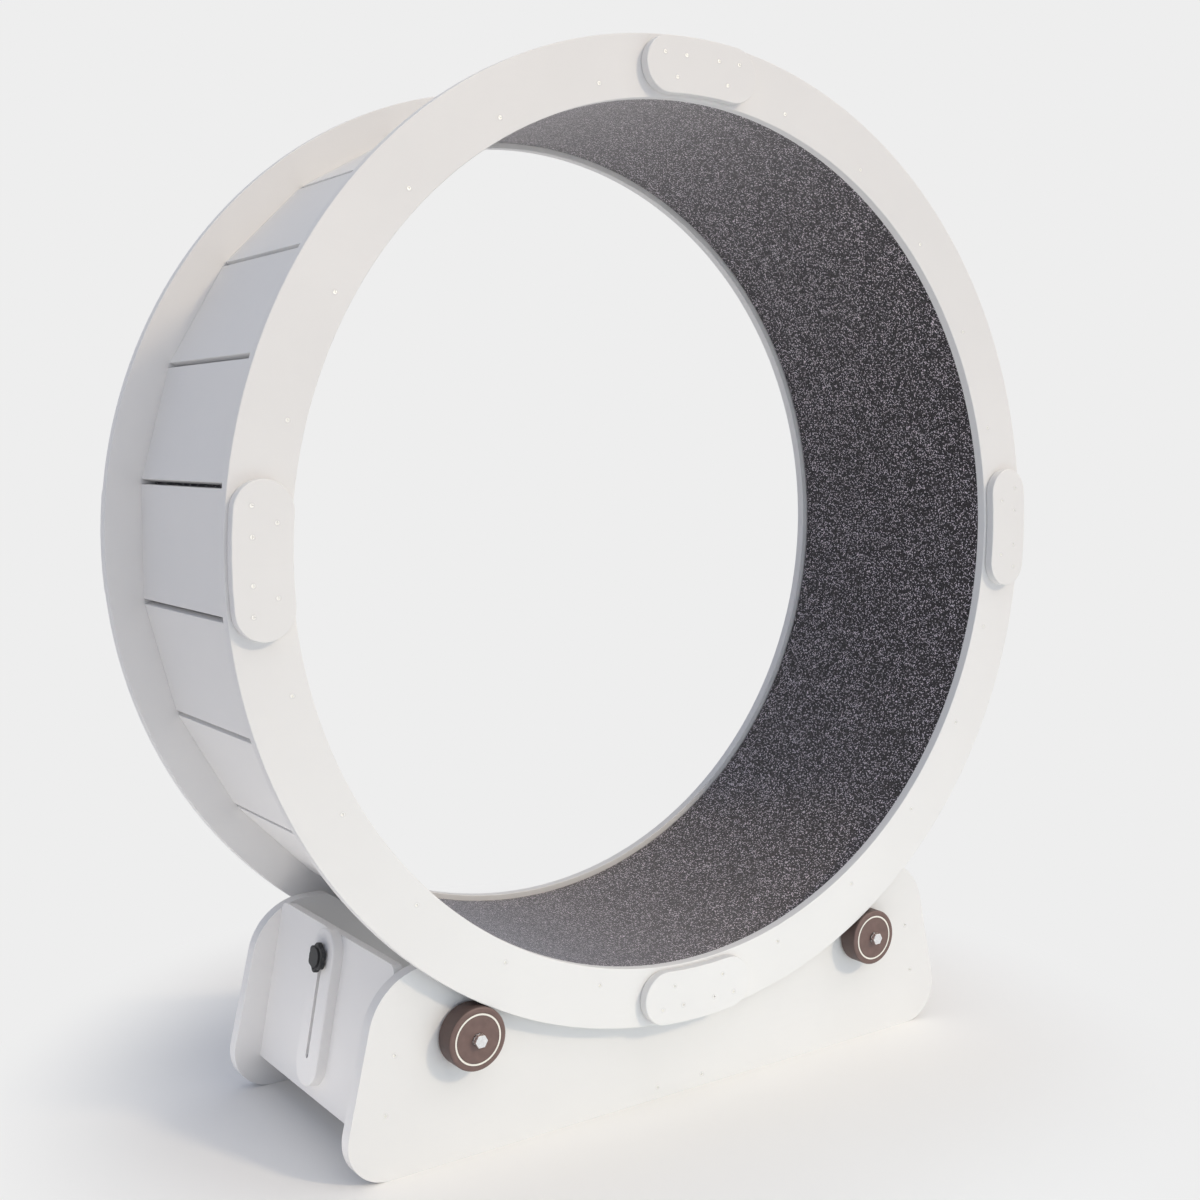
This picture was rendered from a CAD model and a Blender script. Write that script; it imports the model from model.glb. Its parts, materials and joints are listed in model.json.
"""Dresses the cat exercise wheel and sets it on a pale studio floor.

Painted boards, carpet, rollers, bolts and the brake are finished pieces made
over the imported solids, in metres and in the same frame.
"""

import json
import math

import bmesh
import bpy
from mathutils import Matrix, Vector


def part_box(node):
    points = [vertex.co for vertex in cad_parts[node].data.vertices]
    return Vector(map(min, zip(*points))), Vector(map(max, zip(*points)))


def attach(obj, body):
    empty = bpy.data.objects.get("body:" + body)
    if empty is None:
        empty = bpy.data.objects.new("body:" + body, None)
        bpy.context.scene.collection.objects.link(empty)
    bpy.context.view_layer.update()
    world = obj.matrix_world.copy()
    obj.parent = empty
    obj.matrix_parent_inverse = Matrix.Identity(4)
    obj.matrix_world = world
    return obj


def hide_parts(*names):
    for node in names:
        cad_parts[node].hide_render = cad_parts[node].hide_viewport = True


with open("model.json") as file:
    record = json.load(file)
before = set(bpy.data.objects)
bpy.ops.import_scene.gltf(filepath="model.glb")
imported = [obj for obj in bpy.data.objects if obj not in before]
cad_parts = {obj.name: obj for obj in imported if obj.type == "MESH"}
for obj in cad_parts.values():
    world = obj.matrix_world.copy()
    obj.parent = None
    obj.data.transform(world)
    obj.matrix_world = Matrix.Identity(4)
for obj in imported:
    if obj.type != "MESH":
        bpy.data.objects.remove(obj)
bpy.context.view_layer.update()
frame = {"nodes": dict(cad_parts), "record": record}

bl_info = {
    "name": "Cat Exercise Wheel",
    "version": (1, 0, 0),
    "blender": (4, 5, 0),
    "location": "View3D > Sidebar > Cat Wheel",
    "description": "Dresses the wheel, its cradle and its brake, and builds the stage",
    "category": "Object",
}

BODY_OF = {node: body for body, nodes in frame["record"]["behaviour"]["bodies"].items()
           for node in nodes}
JOINTS = {joint["name"]: joint for joint in frame["record"]["behaviour"]["joints"]}
AXLE_HEIGHT = JOINTS["wheel_spin"]["pos_m"][2]
CORNERS = [side + hand for side in ("front_", "back_") for hand in ("left", "right")]
SLATS = [name for name in frame["nodes"] if name.startswith("slat_") and name[5:].isdigit()]

# Lengths by which edges are picked, in metres
MERGE = 0.000002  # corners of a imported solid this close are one
SAME_PLACE = 0.0001
JOINT_FIT = 0.0002  # a ring arc's end faces lie this close to the joints
FACE_DEPTH = 0.001  # edges this close below a flat face belong to it
PLATE_DEPTH = 0.008  # a joining plate's other face lies farther below than this
BOARD_EDGE = 0.0035  # a board's shorter edges belong to its screw holes
LONG_BOARD_EDGE = 0.01  # the same for the slats and the brake plate's slot
METAL_EDGE = 0.0006  # the same for bolts, nuts and washers
SLOT_REACH = 0.0046  # half the width of the brake plate's slot, and a little more
SLOT_INSET = 0.008  # the slot ends farther than this from the plate's ends

# Angles between faces at which an edge goes, is sharp, or stays unsmoothed
FLAT = math.radians(0.2)
CREASE = math.radians(28.0)
SMOOTH = math.radians(35.0)
KNOB_SMOOTH = math.radians(40.0)
KNOB_CORNER = math.radians(50.0)
SQUARE_CORNER = math.radians(60.0)

# How far a roller's faces look sideways: least for its sides, and limits for slopes
SIDE_FACE = 0.5
SLOPE_LEAST, SLOPE_MOST = 0.3, 0.95

# The brake knob, upright: its lobes, its heights, then groove, cap, foot and bore
KNOB_LOBES = 6
KNOB_SIDES = 72
LOBE_SHARES = (1.0, 0.992, 0.967, 0.923, 0.872, 0.838, 0.825)
KNOB_UNDERSIDE, KNOB_SHOULDER, KNOB_TOP = 0.0017, 0.0077, 0.0097
KNOB_GROOVE, KNOB_GROOVE_DEPTH = 0.0118, 0.0009
CAP_RADIUS, CAP_BASE, CAP_EDGE = 0.011, 0.004, 0.0007
FOOT_RADIUS, FOOT_TOP = 0.009, 0.003
BORE_RADIUS, BORE_BASE = 0.00305, -0.001

# Directions that the two suns shine from, and the low lights, lying or upright
KEY_FROM = (13.1, -26.0, 17.3)
TOP_FROM = (0.3, -0.35, 0.89)
TOP_SOFTNESS = math.radians(80.0)
SUN_DISTANCE = 6.0
LOW_LIGHTS = {
    "left": {"colour": (1.0, 0.96, 0.92), "place": (-0.55, 0.0, 0.004),
             "size": (0.16, 0.34), "tilt": math.pi},
    "inner": {"colour": (0.95, 0.97, 1.0), "place": (-0.2, 0.0, 0.09),
              "size": (0.26, 0.24), "tilt": math.pi},
    "front": {"colour": (0.76, 0.94, 1.0), "place": (0.02, -0.95, 0.14),
              "size": (1.1, 0.28), "tilt": math.pi / 2.0},
}
SENSOR_WIDTH = 36.0


# Sizes and colours

class BoardSettings(bpy.types.PropertyGroup):
    """Painted boards: rings, joining plates, slats, panels and brake plate."""

    paint: bpy.props.FloatVectorProperty(
        name="Paint", description="Colour of the painted boards",
        subtype="COLOR", size=3, min=0.0, max=1.0, default=(0.816, 0.804, 0.79))
    edge: bpy.props.FloatProperty(
        name="Edge rounding", description="Rounding of the boards' edges",
        unit="LENGTH", subtype="DISTANCE", default=0.0011, min=0.0003, max=0.003)
    splice_edge: bpy.props.FloatProperty(
        name="Joining plate edge rounding",
        description="Rounding of the joining plates' edges that lie on the ring",
        unit="LENGTH", subtype="DISTANCE", default=0.0024, min=0.0005, max=0.004)
    plate_edge: bpy.props.FloatProperty(
        name="Brake plate edge rounding", description="Rounding of the brake plate's front rim",
        unit="LENGTH", subtype="DISTANCE", default=0.002, min=0.0005, max=0.005)
    slat_edge: bpy.props.FloatProperty(
        name="Slat edge rounding", description="Rounding of the slats' long edges",
        unit="LENGTH", subtype="DISTANCE", default=0.0008, min=0.0003, max=0.002)
    roughness: bpy.props.FloatProperty(
        name="Paint roughness", description="Roughness of the paint",
        subtype="FACTOR", default=0.46, min=0.1, max=0.9)


class CarpetSettings(bpy.types.PropertyGroup):
    """Carpet lining of the drum."""

    bend: bpy.props.FloatProperty(
        name="Bend",
        description="Length over which the carpet bends at each joint between two slats",
        unit="LENGTH", subtype="DISTANCE", default=0.055, min=0.005, max=0.06)
    fall: bpy.props.FloatProperty(
        name="Fall", description="Rounding of the pile at the carpet's two sides",
        unit="LENGTH", subtype="DISTANCE", default=0.0032, min=0.001, max=0.005)
    row: bpy.props.FloatProperty(
        name="Row", description="Distance between two rows of loops",
        unit="LENGTH", subtype="DISTANCE", default=0.0011, min=0.0008, max=0.01)
    loop: bpy.props.FloatProperty(
        name="Loop", description="Length of one loop along its row",
        unit="LENGTH", subtype="DISTANCE", default=0.0013, min=0.0008, max=0.01)
    dark: bpy.props.FloatVectorProperty(
        name="Dark yarn", description="Colour of the dark yarn",
        subtype="COLOR", size=3, min=0.0, max=1.0, default=(0.006, 0.005, 0.006))
    mid: bpy.props.FloatVectorProperty(
        name="Grey yarn", description="Colour of the grey yarn",
        subtype="COLOR", size=3, min=0.0, max=1.0, default=(0.07, 0.061, 0.067))
    fleck: bpy.props.FloatVectorProperty(
        name="Flecks", description="Colour of the light flecks",
        subtype="COLOR", size=3, min=0.0, max=1.0, default=(1.0, 0.9, 0.97))


class FittingSettings(bpy.types.PropertyGroup):
    """Rollers, bolts, screws and knob."""

    tyre: bpy.props.FloatVectorProperty(
        name="Tyre", description="Colour of the rollers' tyres",
        subtype="COLOR", size=3, min=0.0, max=1.0, default=(0.16, 0.102, 0.09))
    hub: bpy.props.FloatVectorProperty(
        name="Hub", description="Colour of the rollers' hubs and their ring lines",
        subtype="COLOR", size=3, min=0.0, max=1.0, default=(0.86, 0.82, 0.74))
    zinc: bpy.props.FloatVectorProperty(
        name="Zinc", description="Colour of the plated bolts and screws",
        subtype="COLOR", size=3, min=0.0, max=1.0, default=(0.93, 0.935, 0.945))
    knob: bpy.props.FloatVectorProperty(
        name="Knob", description="Colour of the brake knob",
        subtype="COLOR", size=3, min=0.0, max=1.0, default=(0.018, 0.019, 0.021))
    knob_radius: bpy.props.FloatProperty(
        name="Knob radius", description="Distance from the knob's axis to the tip of a lobe",
        unit="LENGTH", subtype="DISTANCE", default=0.0165, min=0.015, max=0.018)
    knob_edge: bpy.props.FloatProperty(
        name="Knob edge rounding", description="Rounding of the knob's edges",
        unit="LENGTH", subtype="DISTANCE", default=0.0011, min=0.0003, max=0.002)
    bare: bpy.props.FloatProperty(
        name="Bare spot", description="Radius of the bare metal in the middle of a screw's head",
        unit="LENGTH", subtype="DISTANCE", default=0.002, min=0.0005, max=0.003)
    groove: bpy.props.FloatProperty(
        name="Roller groove",
        description="Width of the fine grooves beside the rollers' ring lines",
        unit="LENGTH", subtype="DISTANCE", default=0.0005, min=0.0001, max=0.001)
    bolt_edge: bpy.props.FloatProperty(
        name="Bolt edge rounding", description="Rounding of the edges of bolts, nuts and washers",
        unit="LENGTH", subtype="DISTANCE", default=0.00025, min=0.0001, max=0.001)


class StageSettings(bpy.types.PropertyGroup):
    """Floor, background, light and camera."""

    background: bpy.props.FloatVectorProperty(
        name="Background", description="Colour behind the object",
        subtype="COLOR", size=3, min=0.0, max=1.0, default=(0.855, 0.855, 0.855))
    floor: bpy.props.FloatVectorProperty(
        name="Floor", description="Colour of the floor near the object",
        subtype="COLOR", size=3, min=0.0, max=1.0, default=(0.915, 0.904, 0.884))
    floor_size: bpy.props.FloatProperty(
        name="Floor size", description="Length of the floor's sides",
        unit="LENGTH", subtype="DISTANCE", default=40.0, min=4.0, max=100.0)
    fade_from: bpy.props.FloatProperty(
        name="Fade from", description="Distance from the origin at which the floor starts to fade",
        unit="LENGTH", subtype="DISTANCE", default=0.44, min=0.0, max=10.0)
    fade_to: bpy.props.FloatProperty(
        name="Fade to", description="Distance from the origin at which the floor has faded",
        unit="LENGTH", subtype="DISTANCE", default=0.76, min=0.1, max=20.0)
    sky: bpy.props.FloatVectorProperty(
        name="Sky", description="Colour of the light from all round",
        subtype="COLOR", size=3, min=0.0, max=1.0, default=(0.72, 0.8, 1.0))
    sky_level: bpy.props.FloatProperty(
        name="Sky level", description="Strength of the light from all round",
        default=0.49, min=0.0, max=3.0)
    key_level: bpy.props.FloatProperty(
        name="Key level", description="Strength of the key light",
        default=0.81, min=0.0, max=10.0)
    key_colour: bpy.props.FloatVectorProperty(
        name="Key colour", description="Colour of the key light",
        subtype="COLOR", size=3, min=0.0, max=1.0, default=(1.0, 0.82, 0.58))
    key_softness: bpy.props.FloatProperty(
        name="Key softness", description="Angle that the key light spans",
        subtype="ANGLE", default=math.radians(6.0), min=0.0, max=1.0)
    top_level: bpy.props.FloatProperty(
        name="Top level", description="Strength of the broad light from above",
        default=1.2, min=0.0, max=10.0)
    top_colour: bpy.props.FloatVectorProperty(
        name="Top colour", description="Colour of the broad light from above",
        subtype="COLOR", size=3, min=0.0, max=1.0, default=(1.0, 0.95, 0.84))
    left_level: bpy.props.FloatProperty(
        name="Left level",
        description="Power of the low light beside the brake's end, in watts",
        default=0.4, min=0.0, max=20.0)
    inner_level: bpy.props.FloatProperty(
        name="Inner level",
        description="Power of the low light between the cradle's panels, in watts",
        default=0.085, min=0.0, max=20.0)
    front_level: bpy.props.FloatProperty(
        name="Front level",
        description="Power of the low light in front of the cradle, in watts",
        default=1.5, min=0.0, max=20.0)
    camera_place: bpy.props.FloatVectorProperty(
        name="Camera", description="Place of the camera",
        subtype="TRANSLATION", unit="LENGTH", size=3, default=(-1.076, -1.5326, 0.7507))
    camera_yaw: bpy.props.FloatProperty(
        name="Yaw", description="Turn of the camera from +Y towards +X",
        subtype="ANGLE", default=math.radians(35.659))
    camera_pitch: bpy.props.FloatProperty(
        name="Pitch", description="Tilt of the camera below the horizon",
        subtype="ANGLE", default=math.radians(4.716))
    lens: bpy.props.FloatProperty(
        name="Lens", description="Focal length in millimetres on a 36 mm sensor",
        default=46.215, min=10.0, max=200.0)
    shift: bpy.props.FloatVectorProperty(
        name="Shift", description="Shift of the lens, as shares of the picture's width",
        size=2, default=(-0.015, -0.0214))


# Shader maths

class Wire:
    """An output socket. Sums, differences and products of wires add Math nodes."""

    def __init__(self, tree, socket):
        self.tree = tree
        self.socket = socket

    def math(self, operation, *values):
        """Adds a Math node on wires and numbers."""
        node = self.tree.nodes.new("ShaderNodeMath")
        node.operation = operation
        for slot, value in zip(node.inputs, values):
            if isinstance(value, Wire):
                self.tree.links.new(value.socket, slot)
            else:
                slot.default_value = value
        return Wire(self.tree, node.outputs[0])

    def __add__(self, other):
        return self.math("ADD", self, other)

    def __radd__(self, other):
        return self.math("ADD", other, self)

    def __sub__(self, other):
        return self.math("SUBTRACT", self, other)

    def __rsub__(self, other):
        return self.math("SUBTRACT", other, self)

    def __mul__(self, other):
        return self.math("MULTIPLY", self, other)

    def __rmul__(self, other):
        return self.math("MULTIPLY", other, self)


class Finish:
    """One procedural material, with its nodes added in code."""

    def __init__(self, name):
        self.material = bpy.data.materials.new(name)
        self.material.use_nodes = True
        self.tree = self.material.node_tree
        self.shader = self.tree.nodes["Principled BSDF"]

    def add(self, kind, inputs=None, output=0, **settings):
        """Adds a node of any kind, sets it, feeds its sockets and returns one output."""
        node = self.tree.nodes.new(kind)
        for name, value in settings.items():
            setattr(node, name, value)
        for name, value in (inputs or {}).items():
            self.feed(node.inputs[name], value)
        return Wire(self.tree, node.outputs[output])

    def feed(self, slot, value):
        """Links a wire to a socket, or sets the socket to a number, a vector or a colour."""
        if isinstance(value, Wire):
            self.tree.links.new(value.socket, slot)
        elif hasattr(slot.default_value, "__len__") and len(slot.default_value) == 4:
            slot.default_value = (*value, 1.0)
        else:
            slot.default_value = value

    def surface(self, **values):
        """Feeds the shader's sockets, named as in the interface but with underscores."""
        for name, value in values.items():
            self.feed(self.shader.inputs[name.replace("_", " ")], value)

    def place(self):
        """Object coordinates, in metres."""
        return self.add("ShaderNodeTexCoord", output="Object")

    def uv_map(self, name):
        """Coordinates from the piece's own UV map of this name."""
        return self.add("ShaderNodeUVMap", uv_map=name)

    def stretch(self, place, scale):
        """Coordinates stretched by one factor along each axis."""
        return self.add("ShaderNodeMapping", {"Vector": place, "Scale": scale})

    def length(self, place):
        """Distance of the coordinates from their origin."""
        return self.add("ShaderNodeVectorMath", {0: place}, output="Value", operation="LENGTH")

    def noise(self, place, scale, detail=2.0):
        """A cloudy pattern about one half."""
        return self.add("ShaderNodeTexNoise", {"Vector": place, "Scale": scale, "Detail": detail})

    def cells(self, place, scale, output="Distance", randomness=1.0, dimensions="3D"):
        """A pattern of cells: the distance from their middles, or a colour for each."""
        return self.add("ShaderNodeTexVoronoi", {
            "Vector": place, "Scale": scale, "Randomness": randomness},
            output=output, voronoi_dimensions=dimensions)

    def remap(self, value, low, high, to_low=0.0, to_high=1.0):
        """Stretches the values between low and high over another range, and caps the rest."""
        return self.add("ShaderNodeMapRange", {
            "Value": value, "From Min": low, "From Max": high,
            "To Min": to_low, "To Max": to_high})

    def mix(self, share, a, b):
        """Mixes two colours: sockets 6, 7 and 2 are a Mix node's colours."""
        return self.add("ShaderNodeMix", {0: share, 6: a, 7: b}, output=2, data_type="RGBA")

    def bump(self, height, strength, distance):
        """Normals that a relief tilts."""
        return self.add("ShaderNodeBump", {
            "Height": height, "Strength": strength, "Distance": distance})


# Finishes

def shaded(colour, share):
    """A colour made darker or lighter by one factor."""
    return tuple(channel * share for channel in colour)


def painted_board(settings):
    """Warm white lacquer, rolled on: a faint stipple and a tone that wanders a little."""
    finish = Finish("painted_board")
    place = finish.place()
    paint = tuple(settings.paint)
    cloud = finish.noise(place, scale=7.0, detail=3.0)
    stipple = finish.noise(place, scale=950.0)
    sweep = finish.noise(finish.stretch(place, (14.0, 90.0, 90.0)), scale=3.0, detail=4.0)
    tone = finish.remap(cloud, low=0.3, high=0.7)
    colour = finish.mix(tone, shaded(paint, 0.978), shaded(paint, 1.012))
    stroke = finish.remap(sweep, low=0.35, high=0.75, to_high=0.35)
    colour = finish.mix(stroke, colour, shaded(paint, 0.985))
    rough = settings.roughness + (cloud - 0.5) * 0.16 + (stipple - 0.5) * 0.08
    height = stipple * 0.6 + sweep * 0.4
    finish.surface(Base_Color=colour, Roughness=rough,
                   Normal=finish.bump(height, strength=0.16, distance=0.0002))
    return finish.material


def loop_carpet(settings):
    """Heather loop pile in fine rows: dark, grey and light yarns mixed at random."""
    finish = Finish("loop_carpet")
    flat = finish.uv_map("carpet")
    grid = finish.stretch(flat, (1.0 / settings.row, 1.0 / settings.loop, 1.0))
    near = finish.cells(grid, 1.0, randomness=0.85, dimensions="2D")
    draw = finish.cells(grid, 1.0, output="Color", randomness=0.85, dimensions="2D")
    dice = finish.add("ShaderNodeSeparateColor", {"Color": draw}, output="Red")
    thread = finish.noise(
        finish.stretch(flat, (0.5 / settings.row, 0.07 / settings.loop, 1.0)), scale=1.0)
    patch = finish.noise(flat, scale=30.0, detail=3.0)
    lift = dice + (thread - 0.5) * 0.2 + (patch - 0.5) * 0.12
    grey = finish.remap(lift, low=0.35, high=0.7)
    yarn = finish.mix(grey, tuple(settings.dark), tuple(settings.mid))
    yarn = finish.mix(finish.remap(lift, low=0.83, high=0.92), yarn, tuple(settings.fleck))
    hollow = finish.remap(near, low=0.35, high=0.8, to_high=0.7)
    yarn = finish.mix(hollow, yarn, shaded(settings.dark, 0.5))
    fibre = finish.noise(flat, scale=2600.0)
    height = (1.0 - near) * 0.8 + fibre * 0.25
    finish.surface(Base_Color=yarn, Roughness=0.75,
                   Normal=finish.bump(height, strength=0.6, distance=0.0005),
                   Sheen_Weight=0.85, Sheen_Roughness=0.38, Sheen_Tint=(1.0, 0.97, 0.98),
                   Specular_IOR_Level=0.4)
    return finish.material


def cast_tyre(settings, name, share):
    """Brown cast polyurethane: matt and faintly mottled, darker where it runs on the rings."""
    finish = Finish(name)
    place = finish.place()
    colour = shaded(settings.tyre, share)
    mottle = finish.noise(place, scale=120.0, detail=4.0)
    grain = finish.noise(place, scale=1900.0)
    patches = finish.remap(mottle, low=0.3, high=0.7)
    tone = finish.mix(patches, shaded(colour, 0.88), shaded(colour, 1.12))
    rough = 0.5 + (mottle - 0.5) * 0.22
    finish.surface(Base_Color=tone, Roughness=rough,
                   Normal=finish.bump(grain, strength=0.18, distance=0.0002))
    return finish.material


def cast_hub(settings):
    """Cream nylon: half matt, with a soft grain."""
    finish = Finish("cast_hub")
    place = finish.place()
    colour = tuple(settings.hub)
    cloud = finish.noise(place, scale=160.0, detail=3.0)
    patches = finish.remap(cloud, low=0.3, high=0.7)
    tone = finish.mix(patches, shaded(colour, 0.96), shaded(colour, 1.02))
    grain = finish.noise(place, scale=1500.0)
    finish.surface(Base_Color=tone, Roughness=0.42 + (cloud - 0.5) * 0.2,
                   Normal=finish.bump(grain, strength=0.1, distance=0.0001))
    return finish.material


def zinc_plate(settings, name, roughness, share):
    """Bright zinc over steel: a spangled tone and fine scratches."""
    finish = Finish(name)
    place = finish.place()
    colour = shaded(settings.zinc, share)
    spangle = finish.cells(place, 420.0)
    cloud = finish.noise(place, scale=260.0, detail=4.0)
    scratch = finish.noise(finish.stretch(place, (60.0, 900.0, 60.0)), scale=6.0, detail=3.0)
    patches = finish.remap(cloud, low=0.3, high=0.75)
    tone = finish.mix(patches, shaded(colour, 0.9), shaded(colour, 1.04))
    rough = roughness + (spangle - 0.4) * 0.12 + (scratch - 0.5) * 0.12
    finish.surface(Base_Color=tone, Metallic=1.0, Roughness=rough,
                   Normal=finish.bump(scratch, strength=0.12, distance=0.00008))
    return finish.material


def bright_screws(settings, boards):
    """Screw heads with paint over their rims and bright metal in their middles."""
    finish = Finish("bright_screws")
    place = finish.place()
    out = finish.length(finish.uv_map("head"))
    cloud = finish.noise(place, scale=420.0, detail=3.0)
    rim = finish.remap(out + (cloud - 0.5) * 0.0005,
                       low=settings.bare * 0.85, high=settings.bare * 1.15)
    metal = finish.mix(cloud, (1.0, 1.0, 0.99), (0.96, 0.96, 0.95))
    tone = finish.mix(rim, metal, shaded(boards.paint, 0.94))
    grain = finish.noise(place, scale=1300.0)
    finish.surface(Base_Color=tone, Metallic=1.0 - rim, Roughness=0.56 + (cloud - 0.5) * 0.12,
                   Normal=finish.bump(grain, strength=0.1, distance=0.0001))
    return finish.material


def moulded_knob(settings):
    """Black moulded plastic with a fine spark-eroded grain."""
    finish = Finish("moulded_knob")
    place = finish.place()
    colour = tuple(settings.knob)
    grain = finish.noise(place, scale=2400.0)
    cloud = finish.noise(place, scale=140.0, detail=3.0)
    patches = finish.remap(cloud, low=0.3, high=0.7)
    tone = finish.mix(patches, shaded(colour, 0.85), shaded(colour, 1.3))
    finish.surface(Base_Color=tone, Roughness=0.45 + (cloud - 0.5) * 0.2,
                   Normal=finish.bump(grain, strength=0.25, distance=0.00015))
    return finish.material


def studio_floor(settings):
    """Pale floor that keeps the shadow near the object and fades into the background."""
    finish = Finish("studio_floor")
    place = finish.place()
    distance = finish.length(place)
    cloud = finish.noise(place, scale=2.5, detail=3.0)
    near = finish.mix(cloud, shaded(settings.floor, 0.99), shaded(settings.floor, 1.01))
    finish.surface(Base_Color=near, Roughness=0.9, Specular_IOR_Level=0.1)
    glow = finish.add("ShaderNodeEmission", {"Color": tuple(settings.background)})
    seen = finish.add("ShaderNodeLightPath", output="Is Camera Ray")
    fade = finish.add("ShaderNodeMapRange", {
        "Value": distance, "From Min": settings.fade_from, "From Max": settings.fade_to},
        interpolation_type="SMOOTHSTEP")
    lit = Wire(finish.tree, finish.shader.outputs[0])
    blend = finish.add("ShaderNodeMixShader", {0: fade * seen, 1: lit, 2: glow})
    finish.feed(finish.tree.nodes["Material Output"].inputs["Surface"], blend)
    return finish.material


# Making pieces

def alone(piece):
    """Makes one object the only selected one, and the active one."""
    bpy.ops.object.select_all(action="DESELECT")
    piece.select_set(True)
    bpy.context.view_layer.objects.active = piece


def edit(piece):
    """Opens one object in edit mode, ready to select edges, and returns its mesh."""
    alone(piece)
    bpy.ops.object.mode_set(mode="EDIT")
    bpy.ops.mesh.select_mode(type="EDGE")
    bpy.ops.mesh.select_all(action="DESELECT")
    return bmesh.from_edit_mesh(piece.data)


def apply_modifiers(piece):
    """Applies all of a piece's modifiers, in their order."""
    alone(piece)
    for modifier in list(piece.modifiers):
        bpy.ops.object.modifier_apply(modifier=modifier.name)


def sharp(edge, angle=CREASE):
    """Tells an edge whose two faces turn by more than an angle."""
    return len(edge.link_faces) == 2 and edge.calc_face_angle(0.0) > angle


def round_edges(piece, width, chosen, segments=2):
    """Rounds the edges that chosen picks, each with the same width."""
    mesh = edit(piece)
    for edge in mesh.edges:
        if chosen(edge):
            edge.select_set(True)
    bmesh.update_edit_mesh(piece.data)
    bpy.ops.mesh.bevel(offset=width, offset_type="OFFSET", segments=segments, profile=0.5,
                       affect="EDGES", clamp_overlap=True)
    bpy.ops.object.mode_set(mode="OBJECT")


def dressed(node, material, name):
    """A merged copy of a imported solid, to finish in its stead."""
    piece = frame["nodes"][node].copy()
    piece.data = frame["nodes"][node].data.copy()
    piece.name = name
    piece.data.name = name
    piece.parent = None
    bpy.context.scene.collection.objects.link(piece)
    edit(piece)
    bpy.ops.mesh.select_mode(type="VERT")
    bpy.ops.mesh.select_all(action="SELECT")
    bpy.ops.mesh.remove_doubles(threshold=MERGE)
    bpy.ops.mesh.dissolve_limited(angle_limit=FLAT)
    bpy.ops.object.mode_set(mode="OBJECT")
    piece.data.materials.clear()
    piece.data.materials.append(material)
    return piece


def finish_piece(piece, node, smooth=SMOOTH):
    """Smooths a piece, lets it stand for its node and ride on the node's body."""
    alone(piece)
    bpy.ops.object.shade_smooth_by_angle(angle=smooth)
    weighted = piece.modifiers.new("Flat faces", "WEIGHTED_NORMAL")
    weighted.weight = 90
    weighted.keep_sharp = True
    apply_modifiers(piece)
    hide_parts(node)
    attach(piece, BODY_OF[node])


def long_edge(shortest):
    """Picks sharp edges that are no part of a screw's or a bolt's hole."""
    return lambda edge: sharp(edge) and edge.calc_length() > shortest


def board_piece(node, width, kept=None):
    """One painted board with rounded edges, but for the edges that kept picks."""
    piece = dressed(node, bpy.data.materials["painted_board"], node + "_board")
    picked = long_edge(BOARD_EDGE)
    round_edges(piece, width, lambda edge: picked(edge) and not (kept and kept(edge)))
    finish_piece(piece, node)


def on_joint(edge):
    """Tells the edges of a ring arc's two end faces."""
    return any(all(abs(value(vertex.co)) < JOINT_FIT for vertex in edge.verts)
               for value in (lambda point: point.x, lambda point: point.z - AXLE_HEIGHT))


def halfway(values):
    """The middle between the least and the greatest of some values."""
    return (min(values) + max(values)) / 2.0


def map_heads(piece):
    """Lays a UV map on each screw, in metres, with its middle on the screw's own axis."""
    mesh = bmesh.new()
    mesh.from_mesh(piece.data)
    layer = mesh.loops.layers.uv.new("head")
    left = set(mesh.verts)
    while left:
        screw, to_visit = set(), [left.pop()]
        while to_visit:
            vertex = to_visit.pop()
            screw.add(vertex)
            for edge in vertex.link_edges:
                other = edge.other_vert(vertex)
                if other in left:
                    left.discard(other)
                    to_visit.append(other)
        x = halfway([vertex.co.x for vertex in screw])
        z = halfway([vertex.co.z for vertex in screw])
        for vertex in screw:
            for loop in vertex.link_loops:
                loop[layer].uv = (vertex.co.x - x, vertex.co.z - z)
    mesh.to_mesh(piece.data)
    mesh.free()


def metal_piece(node, material, width):
    """Fasteners of one kind, with finely broken edges."""
    piece = dressed(node, bpy.data.materials[material], node + "_plated")
    round_edges(piece, width, long_edge(METAL_EDGE), segments=1)
    finish_piece(piece, node)


# Operators

class CatWheelOperator:
    """What the operators share."""

    bl_options = {"REGISTER", "UNDO"}


class CATWHEEL_OT_finishes(CatWheelOperator, bpy.types.Operator):
    """Mix the paint, yarn, rubber, nylon, zinc and plastic finishes"""

    bl_idname = "catwheel.finishes"
    bl_label = "Mix finishes"

    def execute(self, context):
        scene = context.scene
        painted_board(scene.catwheel_boards)
        loop_carpet(scene.catwheel_carpet)
        cast_tyre(scene.catwheel_fittings, "cast_tyre", 1.0)
        cast_tyre(scene.catwheel_fittings, "run_tread", 0.6)
        cast_hub(scene.catwheel_fittings)
        zinc_plate(scene.catwheel_fittings, "zinc_bolts", 0.24, 1.0)
        bright_screws(scene.catwheel_fittings, scene.catwheel_boards)
        zinc_plate(scene.catwheel_fittings, "bearing_steel", 0.16, 0.85)
        moulded_knob(scene.catwheel_fittings)
        return {"FINISHED"}


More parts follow.
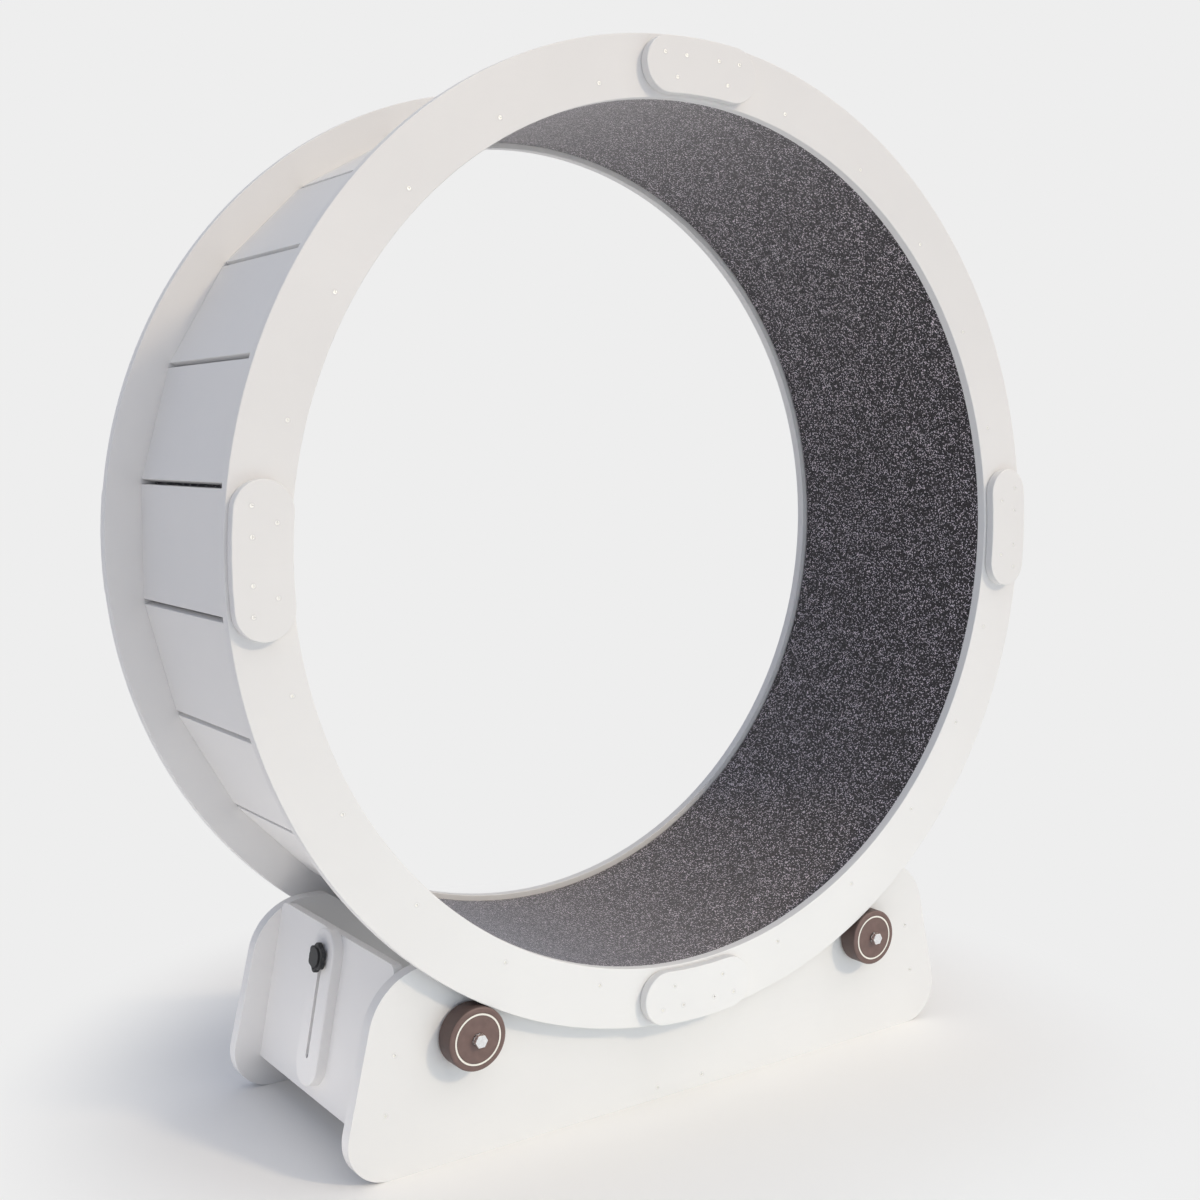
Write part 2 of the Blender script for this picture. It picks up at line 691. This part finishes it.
class CATWHEEL_OT_rings(CatWheelOperator, bpy.types.Operator):
    """Paint the rings' arcs and the plates that join them"""

    bl_idname = "catwheel.rings"
    bl_label = "Rings and joining plates"

    def execute(self, context):
        width = context.scene.catwheel_boards.edge
        for side in ("front", "back"):
            for k in range(1, 5):
                board_piece(f"{side}_ring_arc_{k}", width, on_joint)
            self.round_plates(f"{side}_splice_plates", context.scene.catwheel_boards)
        return {"FINISHED"}

    def round_plates(self, node, settings):
        """Rounds the plates' outer edges a little, and more the edges that lie on the ring."""
        piece = dressed(node, bpy.data.materials["painted_board"], node + "_board")
        face = max(abs(vertex.co.y) for vertex in piece.data.vertices) - FACE_DEPTH
        picked = long_edge(BOARD_EDGE)
        round_edges(piece, settings.edge, lambda edge: picked(edge) and all(
            abs(vertex.co.y) > face for vertex in edge.verts))
        round_edges(piece, settings.splice_edge, lambda edge: picked(edge) and all(
            abs(vertex.co.y) < face - PLATE_DEPTH for vertex in edge.verts), segments=3)
        finish_piece(piece, node)


class CATWHEEL_OT_slats(CatWheelOperator, bpy.types.Operator):
    """Paint the drum's slats"""

    bl_idname = "catwheel.slats"
    bl_label = "Slats"

    def execute(self, context):
        width = context.scene.catwheel_boards.slat_edge
        for node in sorted(SLATS):
            piece = dressed(node, bpy.data.materials["painted_board"], node + "_board")
            round_edges(piece, width, long_edge(LONG_BOARD_EDGE))
            finish_piece(piece, node)
        return {"FINISHED"}


class CATWHEEL_OT_carpet(CatWheelOperator, bpy.types.Operator):
    """Lay the carpet round the inside of the drum"""

    bl_idname = "catwheel.carpet"
    bl_label = "Carpet lining"

    def execute(self, context):
        settings = context.scene.catwheel_carpet
        low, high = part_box("carpet_lining")
        step = 2.0 * math.pi / len(SLATS)
        outer = (high.z - low.z) / 2.0
        inner = min(math.hypot(vertex.co.x, vertex.co.z - AXLE_HEIGHT)
                    for vertex in frame["nodes"]["carpet_lining"].data.vertices)
        width = high.y - low.y
        bpy.ops.object.select_all(action="DESELECT")
        bpy.ops.mesh.primitive_cylinder_add(
            vertices=len(SLATS), radius=inner / math.cos(step / 2.0), depth=width,
            end_fill_type="NOTHING", location=(0.0, 0.0, AXLE_HEIGHT),
            rotation=(math.pi / 2.0, 0.0, 0.0))
        piece = context.active_object
        piece.name = "carpet"
        bpy.ops.object.transform_apply(location=True, rotation=True, scale=True)
        self.turn_to_flats(piece, step)
        round_edges(piece, settings.bend, lambda edge: abs(
            edge.verts[0].co.y - edge.verts[1].co.y) > width / 2.0, segments=8)
        self.lay_out(piece, inner)
        edit(piece)
        bpy.ops.mesh.select_all(action="SELECT")
        bpy.ops.mesh.flip_normals()
        bpy.ops.object.mode_set(mode="OBJECT")
        solid = piece.modifiers.new("Backing", "SOLIDIFY")
        solid.thickness = outer - inner
        solid.offset = -1.0
        solid.use_even_offset = True
        apply_modifiers(piece)
        middle = (outer + inner) / 2.0
        round_edges(piece, settings.fall, lambda edge: sharp(edge, SQUARE_CORNER) and all(
            math.hypot(vertex.co.x, vertex.co.z - AXLE_HEIGHT) < middle
            for vertex in edge.verts), segments=4)
        piece.data.materials.append(bpy.data.materials["loop_carpet"])
        finish_piece(piece, "carpet_lining", SQUARE_CORNER)
        return {"FINISHED"}

    def rim_length(self, piece, place):
        """The length of the band's edge at one side."""
        points = [vertex.co for vertex in piece.data.vertices]
        ends = [[points[index] for index in edge.vertices] for edge in piece.data.edges]
        return sum((a - b).length for a, b in ends
                   if max(abs(a.y - place), abs(b.y - place)) < SAME_PLACE)

    def turn_to_flats(self, piece, step):
        """Turns the band so that a flat lies at the top, as the slats do."""
        first = piece.data.vertices[0].co
        angle = math.atan2(first.x, first.z - AXLE_HEIGHT)
        offset = (angle / step - 0.5) % 1.0 * step
        middle = Matrix.Translation((0.0, 0.0, AXLE_HEIGHT))
        turn = Matrix.Rotation(-offset, 4, "Y")
        piece.data.transform(middle @ turn @ middle.inverted())

    def lay_out(self, piece, radius):
        """Gives each face its flat place on the carpet, in metres."""
        layer = piece.data.uv_layers.new(name="carpet")
        for face in piece.data.polygons:
            centre = math.atan2(face.center.x, face.center.z - AXLE_HEIGHT)
            for loop in face.loop_indices:
                point = piece.data.vertices[piece.data.loops[loop].vertex_index].co
                angle = math.atan2(point.x, point.z - AXLE_HEIGHT)
                if angle - centre > math.pi:
                    angle -= 2.0 * math.pi
                elif centre - angle > math.pi:
                    angle += 2.0 * math.pi
                layer.data[loop].uv = (angle * radius, point.y)


class CATWHEEL_OT_cradle(CatWheelOperator, bpy.types.Operator):
    """Paint the cradle's side panels, end boards and cross board"""

    bl_idname = "catwheel.cradle"
    bl_label = "Cradle"

    def execute(self, context):
        width = context.scene.catwheel_boards.edge
        for node in ("front_side_panel", "back_side_panel",
                     "left_end_board", "right_end_board", "cross_board"):
            board_piece(node, width)
        return {"FINISHED"}


class CATWHEEL_OT_rollers(CatWheelOperator, bpy.types.Operator):
    """Finish the rollers' tyres and hubs, with fine grooves beside the ring lines"""

    bl_idname = "catwheel.rollers"
    bl_label = "Rollers"

    def execute(self, context):
        groove = context.scene.catwheel_fittings.groove
        for corner in CORNERS:
            tyre = self.cast(corner + "_tyre", "cast_tyre", "run_tread")
            for face in tyre.data.polygons:
                face.material_index = int(abs(face.normal.y) < SIDE_FACE)
            self.cut_grooves(tyre, corner, groove)
            finish_piece(tyre, corner + "_tyre")
            hub = self.cast(corner + "_hub", "cast_hub", "cast_tyre")
            self.cut_grooves(hub, corner, groove)
            for face in hub.data.polygons:
                face.material_index = int(SLOPE_LEAST < abs(face.normal.y) < SLOPE_MOST)
            finish_piece(hub, corner + "_hub")
        return {"FINISHED"}

    def cast(self, node, material, second):
        """A tyre or a hub, with a second material for some of its faces."""
        piece = dressed(node, bpy.data.materials[material], node + "_cast")
        piece.data.materials.append(bpy.data.materials[second])
        return piece

    def cut_grooves(self, piece, corner, groove):
        """Breaks the edges that lie in the tyre's two sides, where tyre and hub meet."""
        low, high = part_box(corner + "_tyre")
        round_edges(piece, groove, lambda edge: sharp(edge) and any(
            abs(edge.verts[0].co.y - y) + abs(edge.verts[1].co.y - y) < SAME_PLACE
            for y in (low.y, high.y)))


class CATWHEEL_OT_fasteners(CatWheelOperator, bpy.types.Operator):
    """Plate the bolts, bushes, washers, nuts, bearings and screws"""

    bl_idname = "catwheel.fasteners"
    bl_label = "Bolts and screws"

    def execute(self, context):
        width = context.scene.catwheel_fittings.bolt_edge
        for node in ("axle_bolts", "axle_nuts", "axle_washers", "axle_bushes", "brake_bolt"):
            metal_piece(node, "zinc_bolts", width)
        metal_piece("axle_bearings", "bearing_steel", width)
        for node in ("slat_screws", "splice_screws", "base_screws"):
            piece = dressed(node, bpy.data.materials["bright_screws"], node + "_bright")
            map_heads(piece)
            finish_piece(piece, node)
        return {"FINISHED"}


class CATWHEEL_OT_brake(CatWheelOperator, bpy.types.Operator):
    """Paint the brake plate and mould its knob"""

    bl_idname = "catwheel.brake"
    bl_label = "Brake"

    def execute(self, context):
        self.round_plate(context.scene.catwheel_boards)
        knob = self.mould_knob(context.scene.catwheel_fittings)
        self.fit_knob(knob)
        finish_piece(knob, "brake_knob", KNOB_SMOOTH)
        return {"FINISHED"}

    def round_plate(self, settings):
        """Rounds the plate's front rim well, and the edges of its slot only a little."""
        piece = dressed("brake_plate", bpy.data.materials["painted_board"], "brake_plate_board")
        low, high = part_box("brake_plate")
        foot, head = low.z + SLOT_INSET, high.z - SLOT_INSET
        outwards = Vector(JOINTS["brake_knob_turn"]["axis"])
        face = max(vertex.co.dot(outwards) for vertex in piece.data.vertices) - FACE_DEPTH

        def in_slot(edge):
            return all(abs(vertex.co.y) < SLOT_REACH and foot < vertex.co.z < head
                       for vertex in edge.verts)

        def in_face(edge):
            return all(vertex.co.dot(outwards) > face for vertex in edge.verts)

        picked = long_edge(LONG_BOARD_EDGE)
        round_edges(piece, settings.plate_edge, lambda edge:
                    sharp(edge) and in_face(edge) and not in_slot(edge), segments=4)
        round_edges(piece, settings.edge, lambda edge: picked(edge) and in_slot(edge))
        finish_piece(piece, "brake_plate")

    def disc(self, radius, low, high, name):
        """Adds an upright round disc between two heights on the Z axis."""
        bpy.ops.mesh.primitive_cylinder_add(
            vertices=KNOB_SIDES, radius=radius, depth=high - low,
            location=(0.0, 0.0, (low + high) / 2.0))
        piece = bpy.context.active_object
        piece.name = piece.data.name = name
        bpy.ops.object.transform_apply(location=True, rotation=True, scale=True)
        return piece

    def combine(self, piece, tool, operation):
        """Joins a tool to a piece or cuts it out of it, and takes the tool away."""
        alone(piece)
        bpy.ops.object.modifier_add(type="BOOLEAN")
        modifier = piece.modifiers[-1]
        modifier.operation = operation
        modifier.object = tool
        bpy.ops.object.modifier_apply(modifier=modifier.name)
        alone(tool)
        bpy.ops.object.delete()

    def mould_knob(self, settings):
        """Models the knob upright at the origin: body, groove, raised cap, foot and bore."""
        knob = self.disc(settings.knob_radius, KNOB_UNDERSIDE, KNOB_SHOULDER, "brake_knob_moulded")
        self.press_lobes(knob)
        round_edges(knob, settings.knob_edge, lambda edge: sharp(edge, KNOB_CORNER), segments=3)
        bpy.ops.mesh.primitive_torus_add(
            major_segments=KNOB_SIDES, minor_segments=12, major_radius=KNOB_GROOVE,
            minor_radius=KNOB_GROOVE_DEPTH, location=(0.0, 0.0, KNOB_SHOULDER))
        self.combine(knob, bpy.context.active_object, "DIFFERENCE")
        cap = self.disc(CAP_RADIUS, CAP_BASE, KNOB_TOP, "knob_cap")
        round_edges(cap, CAP_EDGE, lambda edge: sharp(edge, KNOB_CORNER), segments=3)
        self.combine(knob, cap, "UNION")
        foot = self.disc(FOOT_RADIUS, 0.0, FOOT_TOP, "knob_foot")
        self.combine(knob, foot, "UNION")
        bore = self.disc(BORE_RADIUS, BORE_BASE, KNOB_SHOULDER, "knob_bore")
        self.combine(knob, bore, "DIFFERENCE")
        knob.data.materials.clear()
        knob.data.materials.append(bpy.data.materials["moulded_knob"])
        return knob

    def press_lobes(self, knob):
        """Draws the disc's sides in between the lobes, the more the farther from a lobe's tip."""
        lobe, side = 360.0 / KNOB_LOBES, 360.0 / KNOB_SIDES
        for step, share in enumerate(LOBE_SHARES):
            mesh = edit(knob)
            bpy.ops.mesh.select_mode(type="VERT")
            for vertex in mesh.verts:
                turn = math.degrees(math.atan2(vertex.co.y, vertex.co.x)) % lobe
                vertex.select_set(round(min(turn, lobe - turn) / side) == step)
            bmesh.update_edit_mesh(knob.data)
            bpy.ops.transform.resize(value=(share, share, 1.0), center_override=(0.0, 0.0, 0.0))
            bpy.ops.object.mode_set(mode="OBJECT")

    def fit_knob(self, knob):
        """Sets the upright knob on the brake's bolt, with one lobe up the board."""
        joint = JOINTS["brake_knob_turn"]
        centre, axis = Vector(joint["pos_m"]), Vector(joint["axis"]).normalized()
        solid = frame["nodes"]["brake_knob"].data.vertices
        knob.location = centre + axis * min((vertex.co - centre).dot(axis) for vertex in solid)
        knob.rotation_euler = (0.0, math.atan2(axis.x, axis.z), 0.0)
        alone(knob)
        bpy.ops.object.transform_apply(location=True, rotation=True, scale=True)


class CATWHEEL_OT_stage(CatWheelOperator, bpy.types.Operator):
    """Lay the floor, set the lights and place the camera"""

    bl_idname = "catwheel.stage"
    bl_label = "Stage"

    def execute(self, context):
        settings = context.scene.catwheel_stage
        context.scene.view_settings.view_transform = "Standard"
        self.lay_floor(context, settings)
        self.light_world(context, settings)
        self.hang_lights(context, settings)
        self.place_camera(context, settings)
        return {"FINISHED"}

    def lay_floor(self, context, settings):
        """Lays the wide floor, which fades into the background."""
        bpy.ops.object.select_all(action="DESELECT")
        bpy.ops.mesh.primitive_plane_add(size=settings.floor_size, location=(0.0, 0.0, 0.0))
        floor = context.active_object
        floor.name = "studio_floor"
        floor.data.materials.append(studio_floor(settings))

    def light_world(self, context, settings):
        """Lights all round, and shows the plain background to the camera, metal and glass."""
        world = bpy.data.worlds.new("studio")
        context.scene.world = world
        world.use_nodes = True
        tree = world.node_tree
        sky = tree.nodes["Background"]
        sky.inputs["Color"].default_value = (*settings.sky, 1.0)
        sky.inputs["Strength"].default_value = settings.sky_level
        plain = tree.nodes.new("ShaderNodeBackground")
        plain.inputs["Color"].default_value = (*settings.background, 1.0)
        path = tree.nodes.new("ShaderNodeLightPath")
        glossy = Wire(tree, path.outputs["Is Glossy Ray"])
        seen = glossy.math("MAXIMUM", Wire(tree, path.outputs["Is Camera Ray"]), glossy)
        seen = seen.math("MAXIMUM", seen, Wire(tree, path.outputs["Is Transmission Ray"]))
        blend = tree.nodes.new("ShaderNodeMixShader")
        tree.links.new(seen.socket, blend.inputs[0])
        tree.links.new(sky.outputs[0], blend.inputs[1])
        tree.links.new(plain.outputs[0], blend.inputs[2])
        tree.links.new(blend.outputs[0], tree.nodes["World Output"].inputs["Surface"])

    def hang_lights(self, context, settings):
        """Hangs the two suns and sets the low lights."""
        self.hang_sun(context, "key", settings.key_level, settings.key_colour,
                      settings.key_softness, Vector(KEY_FROM))
        self.hang_sun(context, "top", settings.top_level, settings.top_colour,
                      TOP_SOFTNESS, Vector(TOP_FROM))
        for name, lamp in LOW_LIGHTS.items():
            self.lay_light(context, "low_" + name, getattr(settings, name + "_level"), **lamp)

    def lay_light(self, context, name, power, colour, place, size, tilt):
        """Adds a broad low light, itself unseen, lying and shining upwards or set upright."""
        light = bpy.data.lights.new(name, "AREA")
        light.shape = "RECTANGLE"
        light.size, light.size_y = size
        light.energy = power
        light.color = colour
        lamp = bpy.data.objects.new(name, light)
        lamp.location = place
        lamp.rotation_euler = (tilt, 0.0, 0.0)
        lamp.visible_camera = False
        lamp.visible_glossy = False
        context.scene.collection.objects.link(lamp)

    def hang_sun(self, context, name, level, colour, softness, towards):
        """Adds a sun that shines from the given direction onto the object."""
        light = bpy.data.lights.new(name, "SUN")
        light.energy = level
        light.color = colour
        light.angle = softness
        lamp = bpy.data.objects.new(name, light)
        lamp.location = Vector((0.0, 0.0, AXLE_HEIGHT)) + towards.normalized() * SUN_DISTANCE
        lamp.rotation_euler = towards.to_track_quat("Z", "Y").to_euler()
        context.scene.collection.objects.link(lamp)

    def place_camera(self, context, settings):
        """Places the camera at the photograph's angle, without depth of field."""
        data = bpy.data.cameras.new("camera")
        data.sensor_fit = "HORIZONTAL"
        data.sensor_width = SENSOR_WIDTH
        data.lens = settings.lens
        data.shift_x, data.shift_y = settings.shift
        camera = bpy.data.objects.new("camera", data)
        camera.location = settings.camera_place
        camera.rotation_euler = (
            math.pi / 2.0 - settings.camera_pitch, 0.0, -settings.camera_yaw)
        context.scene.collection.objects.link(camera)
        context.scene.camera = camera


# Panel and registration

STEPS = ("finishes", "rings", "slats", "carpet", "cradle",
         "rollers", "fasteners", "brake", "stage")


class CATWHEEL_PT_sidebar(bpy.types.Panel):
    """Lists the steps that build the wheel's looks"""

    bl_idname = "CATWHEEL_PT_sidebar"
    bl_label = "Cat Wheel"
    bl_space_type = "VIEW_3D"
    bl_region_type = "UI"
    bl_category = "Cat Wheel"

    def draw(self, context):
        for step in STEPS:
            self.layout.operator("catwheel." + step)
        for group in GROUPS:
            settings = getattr(context.scene, group)
            for name in settings.bl_rna.properties.keys():
                if name not in ("rna_type", "name"):
                    self.layout.prop(settings, name)


GROUPS = {
    "catwheel_boards": BoardSettings,
    "catwheel_carpet": CarpetSettings,
    "catwheel_fittings": FittingSettings,
    "catwheel_stage": StageSettings,
}
CLASSES = (
    BoardSettings, CarpetSettings, FittingSettings, StageSettings,
    CATWHEEL_OT_finishes, CATWHEEL_OT_rings, CATWHEEL_OT_slats, CATWHEEL_OT_carpet,
    CATWHEEL_OT_cradle, CATWHEEL_OT_rollers, CATWHEEL_OT_fasteners, CATWHEEL_OT_brake,
    CATWHEEL_OT_stage, CATWHEEL_PT_sidebar,
)


def register():
    for cls in CLASSES:
        bpy.utils.register_class(cls)
    for name, group in GROUPS.items():
        setattr(bpy.types.Scene, name, bpy.props.PointerProperty(type=group))


def unregister():
    for name in GROUPS:
        delattr(bpy.types.Scene, name)
    for cls in reversed(CLASSES):
        bpy.utils.unregister_class(cls)


def main():
    register()
    for step in STEPS:
        getattr(bpy.ops.catwheel, step)()


if __name__ == "__main__":
    main()
